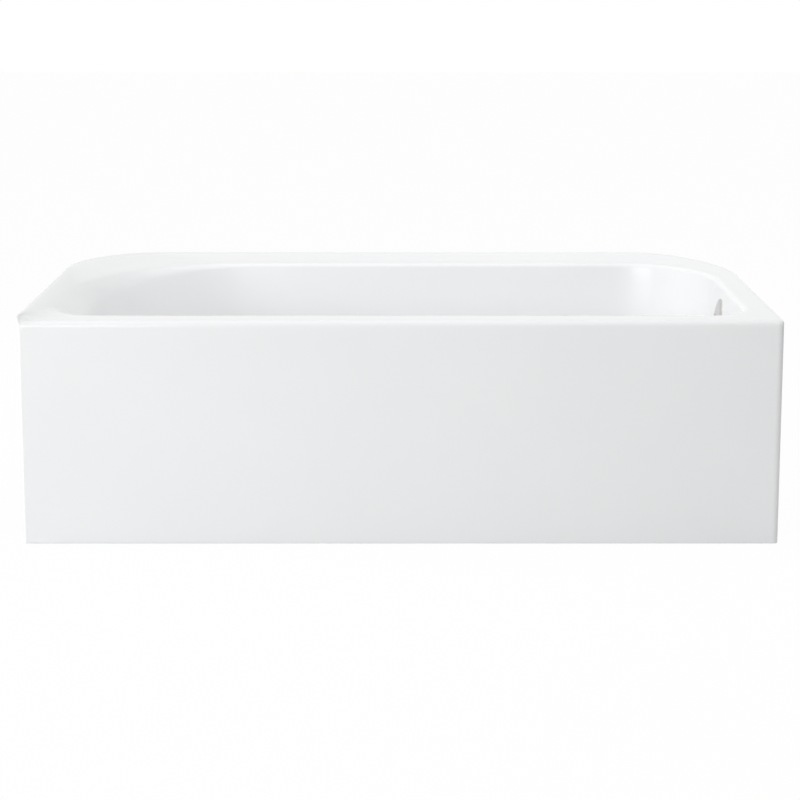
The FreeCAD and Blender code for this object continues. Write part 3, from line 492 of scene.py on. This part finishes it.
def edge_points(side):
    """The upright face and its rounding at the top."""
    radius = EDGE_ROUNDS[side]
    top = LIP_TOP if HAS_LIP[side] else RIM
    points = [(0, height) for height in SKIRT_HEIGHTS]
    for step in range(EDGE_STEPS + 1):
        angle = QUARTER_TURN * step / EDGE_STEPS
        points.append((radius * (1 - math.cos(angle)), top - radius + radius * math.sin(angle)))
    return points


def deck_points(side, start, finish):
    """From the edge to the mouth; with a lip, the deck falls from it and levels out."""
    points = []
    for step in range(1, DECK_STEPS + 1):
        share = step / DECK_STEPS
        rise = LIP_RISE * (1 - share) ** LIP_FALL if HAS_LIP[side] else 0
        points.append((start + (finish - start) * share, RIM + rise))
    return points


def roll_points(start):
    """The backrest's roll: one curve from the lip's top to the leaning wall."""
    first = Vector((start, LIP_TOP))
    last = Vector((ROLL_REACH, RIM - ROLL_DEPTH))
    out = Vector((math.cos(ROLL_FIRST_SLOPE), -math.sin(ROLL_FIRST_SLOPE)))
    down = Vector((math.sin(LEANS[BACKREST]), -math.cos(LEANS[BACKREST])))
    handles = (first + out * ROLL_HANDLES[0], last - down * ROLL_HANDLES[1])
    count = DECK_STEPS + MOUTH_STEPS
    points = []
    for step in range(1, count + 1):
        t = step / count
        point = first * (1 - t) ** 3 + handles[0] * 3 * t * (1 - t) ** 2
        point += handles[1] * 3 * t * t * (1 - t) + last * t ** 3
        points.append((point.x, point.y))
    return points


def mouth_points(side):
    """The deck's end, and the rounding from there into the basin's wall."""
    turn = QUARTER_TURN - LEANS[side]
    start = RIM_WIDTHS[side] - MOUTH_ROUND * math.tan(turn / 2)
    points = []
    for step in range(1, MOUTH_STEPS + 1):
        angle = turn * step / MOUTH_STEPS
        points.append((
            start + MOUTH_ROUND * math.sin(angle),
            RIM - MOUTH_ROUND * (1 - math.cos(angle)),
        ))
    return start, points


def side_profile(side):
    """A side's (inwards, height) points from its skirt to the edge of the basin's floor."""
    points = edge_points(side)
    if side == BACKREST:
        points += roll_points(points[-1][0])
    else:
        finish, mouth = mouth_points(side)
        points += deck_points(side, points[-1][0], finish) + mouth
    first = RIM - points[-1][1]
    straight = BASIN_DEPTH - FLOOR_ROUND
    for step in range(1, WALL_STEPS + 1):
        depth = first + (straight - first) * step / WALL_STEPS
        points.append((lean_at(side, depth), RIM - depth))
    for step in range(1, FLOOR_ROUND_STEPS + 1):
        angle = QUARTER_TURN * step / FLOOR_ROUND_STEPS
        depth = straight + FLOOR_ROUND * math.sin(angle)
        inset = FLOOR_ROUND * (1 - math.cos(angle))
        points.append((lean_at(side, depth) + inset, RIM - depth))
    return points


def corner_radius(profiles, corner, row):
    """The plan radius of a corner on one row of the two sides that meet there."""
    sides = sides_at(corner)
    inwards = [profiles[side][row][0] for side in sides]
    heights = [profiles[side][row][1] for side in sides]
    edges = [profiles[side][EDGE_ROW][0] for side in sides]
    edge_radius = max(OUTER_CORNERS[corner] - sum(edges) / 2, LEAST_CORNERS[corner])
    if row <= EDGE_ROW:
        share = sum(inwards) / sum(edges)
        return OUTER_CORNERS[corner] * (1 - share) + edge_radius * share
    depth = max(0.0, RIM - sum(heights) / 2)
    growth = FLOOR_CORNERS[corner] - MOUTH_CORNERS[corner]
    radius = MOUTH_CORNERS[corner] + growth * depth / BASIN_DEPTH
    radius -= sum(across - lean_at(side, depth) for across, side in zip(inwards, sides)) / 2
    if row >= MOUTH_ROW:
        return radius
    mouths = [profiles[side][MOUTH_ROW][0] for side in sides]
    share = sum((now - edge) / (mouth - edge) for now, edge, mouth in zip(inwards, edges, mouths)) / 2
    return edge_radius * (1 - share) + radius * share


def corner_arc(corner, centre, radius):
    """A corner's stations, from the end of one side to the start of the next."""
    first = math.pi + QUARTER_TURN * corner
    points = []
    for step in range(ARC_STEPS + 1):
        angle = first + QUARTER_TURN * step / ARC_STEPS
        points.append(Vector((
            centre[0] + radius * math.cos(angle),
            centre[1] + radius * math.sin(angle),
        )))
    return points


def line_shares(side):
    """Where the stations of a side's line lie; on an end one is at the end of the apron's return."""
    steps = LINE_STEPS[side]
    if side not in END_CORNERS:
        return [step / steps for step in range(1, steps)]
    front_round, back_round = [OUTER_CORNERS[corner] for corner in END_CORNERS[side]]
    length = 2 * HALF_WIDTH - front_round - back_round
    close = [(APRON_RETURN - front_round) / length * share for share in RETURN_SHARES]
    rest = [close[-1] + (1 - close[-1]) * step / steps for step in range(1, steps)]
    if side == BACKREST:
        return sorted(1 - share for share in close + rest)
    return close + rest


def plan_of(inwards, radii):
    """The stations of a closed outline of four arcs and four lines."""
    left = -HALF_LENGTH + inwards[BACKREST]
    right = HALF_LENGTH - inwards[DRAIN_END]
    front = -HALF_WIDTH + inwards[FRONT]
    back = HALF_WIDTH - inwards[BACK]
    centres = (
        (left + radii[FRONT_LEFT], front + radii[FRONT_LEFT]),
        (right - radii[FRONT_RIGHT], front + radii[FRONT_RIGHT]),
        (right - radii[BACK_RIGHT], back - radii[BACK_RIGHT]),
        (left + radii[BACK_LEFT], back - radii[BACK_LEFT]),
    )
    arcs = [corner_arc(corner, centre, radii[corner]) for corner, centre in enumerate(centres)]
    stations = []
    for side in range(4):
        stations += arcs[side]
        start, end = arcs[side][-1], arcs[(side + 1) % 4][0]
        stations += [start.lerp(end, share) for share in line_shares(side)]
    return stations


def station_sides():
    """For each station, the share that each side has in it."""
    stations = []
    for corner in range(4):
        before, after = sides_at(corner)
        for step in range(ARC_STEPS + 1):
            share = smooth_step(step / ARC_STEPS)
            blend = [0.0] * 4
            blend[before] = 1 - share
            blend[after] = share
            stations.append(blend)
        alone = [0.0] * 4
        alone[after] = 1.0
        stations += [alone] * len(line_shares(after))
    return stations


def shell_rows():
    """The outer skin as rows of points, from the skirt over the rim and down to the drain's hole."""
    profiles = [side_profile(side) for side in range(4)]
    sides = station_sides()
    rows = []
    for row in range(len(profiles[0])):
        inwards = [profile[row][0] for profile in profiles]
        heights = [profile[row][1] for profile in profiles]
        radii = [corner_radius(profiles, corner, row) for corner in range(4)]
        points = []
        for place, shares in zip(plan_of(inwards, radii), sides):
            height = sum(share * side for share, side in zip(shares, heights))
            points.append(Vector((place.x, place.y, height)))
        rows.append(points)
    return rows + floor_rows(rows[-1])


def floor_rows(edge):
    """The flat floor, drawn in along rays to the recess and the hole of the drain."""
    rays = [(point - DRAIN).to_2d().normalized() for point in edge]

    def circle(radius, height):
        return [Vector((DRAIN.x + ray.x * radius, DRAIN.y + ray.y * radius, height)) for ray in rays]

    recess_floor = BASIN_FLOOR - RECESS_DEPTH
    recess_top = circle(DRAIN_RECESS + RECESS_ROUND, BASIN_FLOOR)
    rows = [[outer.lerp(inner, share) for outer, inner in zip(edge, recess_top)] for share in FLOOR_SHARES]
    rows.append(recess_top)
    for step in range(1, RECESS_ROUND_STEPS + 1):
        angle = QUARTER_TURN * step / RECESS_ROUND_STEPS
        radius = DRAIN_RECESS + RECESS_ROUND * (1 - math.sin(angle))
        rows.append(circle(radius, BASIN_FLOOR - RECESS_ROUND * (1 - math.cos(angle))))
    rows.append(circle(DRAIN_RECESS, recess_floor + RECESS_FOOT))
    rows.append(circle(DRAIN_RECESS - RECESS_FOOT, recess_floor))
    rows.append(circle(DRAIN_HOLE, recess_floor))
    return rows


def apron_profile(top):
    """The apron's (inwards, height) points from under the skirt to the back of its foot."""
    points = [(0, top * share) for share in APRON_HEIGHT_SHARES] + [(0, 2 * APRON_FOOT_ROUND)]
    for step in range(APRON_FOOT_STEPS + 1):
        angle = QUARTER_TURN * step / APRON_FOOT_STEPS
        points.append((
            APRON_FOOT_ROUND * (1 - math.cos(angle)),
            APRON_FOOT_ROUND * (1 - math.sin(angle)),
        ))
    return points + [(APRON_FOOT, 0)]


def add_apron(vertices, faces, stations):
    """The apron under the skirt's front, with its returns at the ends and its foot on the floor."""
    reach = -HALF_WIDTH + APRON_RETURN + STATION_MARGIN
    inside = [vertices[station].y <= reach for station in range(stations)]
    first = next(station for station in range(stations) if inside[station] and not inside[station - 1])
    run = []
    while inside[(first + len(run)) % stations]:
        run.append((first + len(run)) % stations)
    above = run
    for inwards, height in apron_profile(vertices[run[0]].z):
        half_length = HALF_LENGTH - inwards
        below = []
        for station in run:
            point = vertices[station]
            below.append(len(vertices))
            vertices.append(Vector((
                max(-half_length, min(half_length, point.x)),
                max(point.y, -HALF_WIDTH + inwards),
                height,
            )))
        for step in range(len(run) - 1):
            faces.append((below[step], below[step + 1], above[step + 1], above[step]))
        above = below


def thinner_lip(piece, stations):
    """Gives the lip and the rim's edge a wall thin enough for their small roundings."""
    wall = piece.vertex_groups.new(name="wall")
    wall.add(range(len(piece.data.vertices)), 1.0, "REPLACE")
    near_corner = range(-CORNER_MARGIN, ARC_STEPS + 1 + CORNER_MARGIN)
    for row, share in enumerate(LIP_WALL_SHARES, start=len(SKIRT_HEIGHTS) - 1):
        start = row * stations
        wall.add(range(start, start + stations), share, "REPLACE")
        corner = [start + station % stations for station in near_corner]
        wall.add(corner, share * CORNER_WALL_SHARE, "REPLACE")


def tub_shell():
    """The outer skin with its apron, given a wall whose hidden side is the glass fibre backing."""
    rows = shell_rows()
    stations = len(rows[0])
    vertices = [point for row in rows for point in row]
    faces = []
    for low in range(0, len(vertices) - stations, stations):
        high = low + stations
        for station in range(stations):
            after = (station + 1) % stations
            faces.append((low + station, low + after, high + after, high + station))
    add_apron(vertices, faces, stations)
    piece = mesh_object("bathtub_shell", vertices, faces, [FINISHES["shell"], FINISHES["brace"]])
    normals_outwards(piece)
    thinner_lip(piece, stations)
    thicken = piece.modifiers.new("wall", "SOLIDIFY")
    thicken.thickness = WALL
    thicken.offset = -1
    thicken.use_even_offset = True
    thicken.material_offset = 1
    thicken.material_offset_rim = 0
    thicken.vertex_group = "wall"
    even_shading(piece)
    return finished(piece, SHELL_SHARP_ANGLE)


shell = tub_shell()
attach(shell, "tub")
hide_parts("tub_shell")

# ---------------------------------------------------------------- the screws

SCREW_HEAD_SIDES = 32
SCREW_HEAD_RINGS = 6
SCREW_SHANK_SIDES = 16
# The share of the shank's radius that is left at its very tip.
SCREW_TIP_SHARE = 0.3

SCREWS_PER_FOOT = 3
FOOT_SCREW_CIRCLE = 41.5 * MM
FOOT_SCREW_HEAD_HEIGHT = 2.6 * MM
OVERFLOW_HEIGHT = 393 * MM
OVERFLOW_PLATE_CROWN = 4 * MM
OVERFLOW_SCREW_OFFSET = 20 * MM


def cross_head_screws(name, points, axis, **sizes):
    """Pan-head screws with a cross recess, a head seated at each point and the tips along the axis."""
    labelled = {key.replace("_", " "): value for key, value in sizes.items()}
    pattern = Pattern(name, {"Axis": tuple(axis), **labelled})
    head_height, length = pattern["Head Height"], pattern["Length"]
    head_top = -1 * head_height

    head = pattern.bar(SCREW_HEAD_SIDES, SCREW_HEAD_RINGS, pattern["Head Radius"], head_height, head_top)
    up = -1 * pattern.height() / head_height
    head = pattern.drawn_in(head, 1 - pattern["Dome"] * up ** 3)

    shank = pattern.bar(SCREW_SHANK_SIDES, pattern["Thread Rings"], pattern["Shank Radius"], length, 0)
    height = pattern.height()
    ridges = height.maths("SINE", 2 * math.pi * height / pattern["Thread Pitch"])
    tip = (length - height) / pattern["Tip Length"]
    tip = tip.maths("MINIMUM", SCREW_TIP_SHARE + (1 - SCREW_TIP_SHARE) * tip, 1.0)
    shank = pattern.drawn_in(shank, (1 - pattern["Thread Depth"] * (0.5 + 0.5 * ridges)) * tip)

    width, reach, depth = pattern["Recess Width"], pattern["Recess Reach"], pattern["Recess Depth"]
    recess = [
        pattern.block(reach, width, 2 * depth, head_top),
        pattern.block(width, reach, 2 * depth, head_top),
    ]
    screw = pattern.cut(pattern.joined([head, shank]), recess)
    pattern.end(pattern.at_each_point(screw, pattern["Axis"]))
    return pattern.make(name, points, FINISHES["screw"])


def foot_screws():
    low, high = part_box("foot_screws")
    seat = low.z + FOOT_SCREW_HEAD_HEIGHT
    points = []
    for node in frame["nodes"]:
        if not node.startswith("support_foot"):
            continue
        foot_low, foot_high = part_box(node)
        centre = (foot_low + foot_high) / 2
        for index in range(SCREWS_PER_FOOT):
            angle = 2 * math.pi * index / SCREWS_PER_FOOT
            points.append((
                centre.x + FOOT_SCREW_CIRCLE * math.cos(angle),
                centre.y + FOOT_SCREW_CIRCLE * math.sin(angle),
                seat,
            ))
    return cross_head_screws(
        "foot_wood_screws", points, (0.0, 0.0, 1.0),
        Head_Height=FOOT_SCREW_HEAD_HEIGHT, Head_Radius=4 * MM, Dome=0.3,
        Length=high.z - seat, Shank_Radius=2.1 * MM, Thread_Pitch=1.6 * MM, Thread_Rings=48,
        Thread_Depth=0.22, Tip_Length=3 * MM,
        Recess_Width=0.9 * MM, Recess_Depth=1.3 * MM, Recess_Reach=4.2 * MM,
    )


def overflow_screws():
    lean = LEANS[DRAIN_END]
    outwards = Vector((math.cos(lean), 0, -math.sin(lean)))
    wall = Vector((HALF_LENGTH - lean_at(DRAIN_END, RIM - OVERFLOW_HEIGHT), DRAIN.y, OVERFLOW_HEIGHT))
    seat = wall - outwards * OVERFLOW_PLATE_CROWN
    points = [seat + Vector((0, side * OVERFLOW_SCREW_OFFSET, 0)) for side in (-1, 1)]
    return cross_head_screws(
        "overflow_plate_screws", points, outwards,
        Head_Height=2.1 * MM, Head_Radius=4.2 * MM, Dome=0.35,
        Length=28 * MM, Shank_Radius=2 * MM, Thread_Pitch=0.8 * MM, Thread_Rings=140,
        Thread_Depth=0.16, Tip_Length=0.8 * MM,
        Recess_Width=0.9 * MM, Recess_Depth=1.2 * MM, Recess_Reach=4.2 * MM,
    )


for piece, node in ((foot_screws(), "foot_screws"), (overflow_screws(), "overflow_screws")):
    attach(piece, "tub")
    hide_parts(node)

# ---------------------------------------------------------------- the setting

CAMERA_X = 4.9 * MM
CAMERA_DISTANCE = 3537 * MM
CAMERA_HEIGHT = 1184.4 * MM
CAMERA_PITCH = 8.55
CAMERA_LENS = 81.92
CAMERA_SHIFT = (-0.0043, -0.22)
FLOOR_REACH = 14
# How much of the floor's look is plain white; the rest shows the tub's shadow.
FLOOR_WHITE_SHARE = 0.975
WORLD_LEVEL = 0.36
WHITE = (1, 1, 1, 1)


def camera():
    data = bpy.data.cameras.new("camera")
    data.lens = CAMERA_LENS
    data.sensor_width = 36
    data.shift_x, data.shift_y = CAMERA_SHIFT
    data.clip_end = 50
    eye = bpy.data.objects.new("camera", data)
    eye.location = (CAMERA_X, -HALF_WIDTH - CAMERA_DISTANCE, CAMERA_HEIGHT)
    eye.rotation_euler = (degrees(90 - CAMERA_PITCH), 0, 0)
    bpy.context.scene.collection.objects.link(eye)
    bpy.context.scene.camera = eye


def looked_at(tree):
    """One for a ray from the camera, a mirror or glass, and nought for one that only lights."""
    rays = tree.add("ShaderNodeLightPath", {}, output="Is Camera Ray")
    return rays + rays.beside("Is Glossy Ray") + rays.beside("Is Transmission Ray")


def pale_floor():
    finish = Finish("pale floor")
    grain = finish.noise(scale=3)
    finish.set(Base_Color=finish.blend(grain, (0.80, 0.80, 0.80), (0.82, 0.82, 0.82)), Roughness=0.7)
    plain = Socket(finish, finish.surface.outputs[0])
    white = finish.add("ShaderNodeEmission", {}, Color=WHITE, Strength=1.0)
    both = finish.add("ShaderNodeMixShader", {}, FLOOR_WHITE_SHARE * looked_at(finish), plain, white)
    finish.connect(finish.tree.nodes["Material Output"].inputs["Surface"], both)
    floor = mesh_object(
        "pale_floor",
        [(-FLOOR_REACH, -FLOOR_REACH, 0), (FLOOR_REACH, -FLOOR_REACH, 0),
         (FLOOR_REACH, FLOOR_REACH, 0), (-FLOOR_REACH, FLOOR_REACH, 0)],
        [(0, 1, 2, 3)], [finish.material],
    )


def white_world(level):
    """A world that lights the tub at the level and looks white."""
    world = bpy.data.worlds.new("studio")
    bpy.context.scene.world = world
    world.use_nodes = True
    tree = Tree(world.node_tree)
    strength = tree.add("ShaderNodeMapRange", {}, looked_at(tree), **{"To Min": level, "To Max": 1.0})
    background = tree.tree.nodes["Background"]
    tree.connect(background.inputs["Color"], WHITE)
    tree.connect(background.inputs["Strength"], strength)


def soft_light(name, place, aim, size, power, mirrored=True):
    data = bpy.data.lights.new(name, "AREA")
    data.shape = "RECTANGLE"
    data.size, data.size_y = size
    data.energy = power
    lamp = bpy.data.objects.new(name, data)
    lamp.location = place
    lamp.rotation_euler = (Vector(aim) - Vector(place)).to_track_quat("-Z", "Y").to_euler()
    lamp.visible_glossy = mirrored
    bpy.context.scene.collection.objects.link(lamp)


camera()
pale_floor()
white_world(WORLD_LEVEL)
soft_light("key", place=(-2.2, -4.6, 1.8), aim=(-0.4, -0.3, 0.3), size=(2.4, 1.6), power=82)
soft_light("left", place=(-3.4, -0.5, 1.3), aim=(0.6, 0.1, 0.3), size=(1.6, 1.2), power=45, mirrored=False)
soft_light("right back", place=(1.3, 1.0, 2.2), aim=(0.3, 0, 0.4), size=(1.6, 1.6), power=13, mirrored=False)
soft_light("top", place=(0.1, 0.1, 2.6), aim=(0, 0, 0.4), size=(2.6, 2.0), power=15)
soft_light("high front", place=(0, -1.7, 3.0), aim=(0, 0.3, 0.4), size=(2.4, 1.2), power=13)

scene = bpy.context.scene
scene.view_settings.view_transform = "Standard"
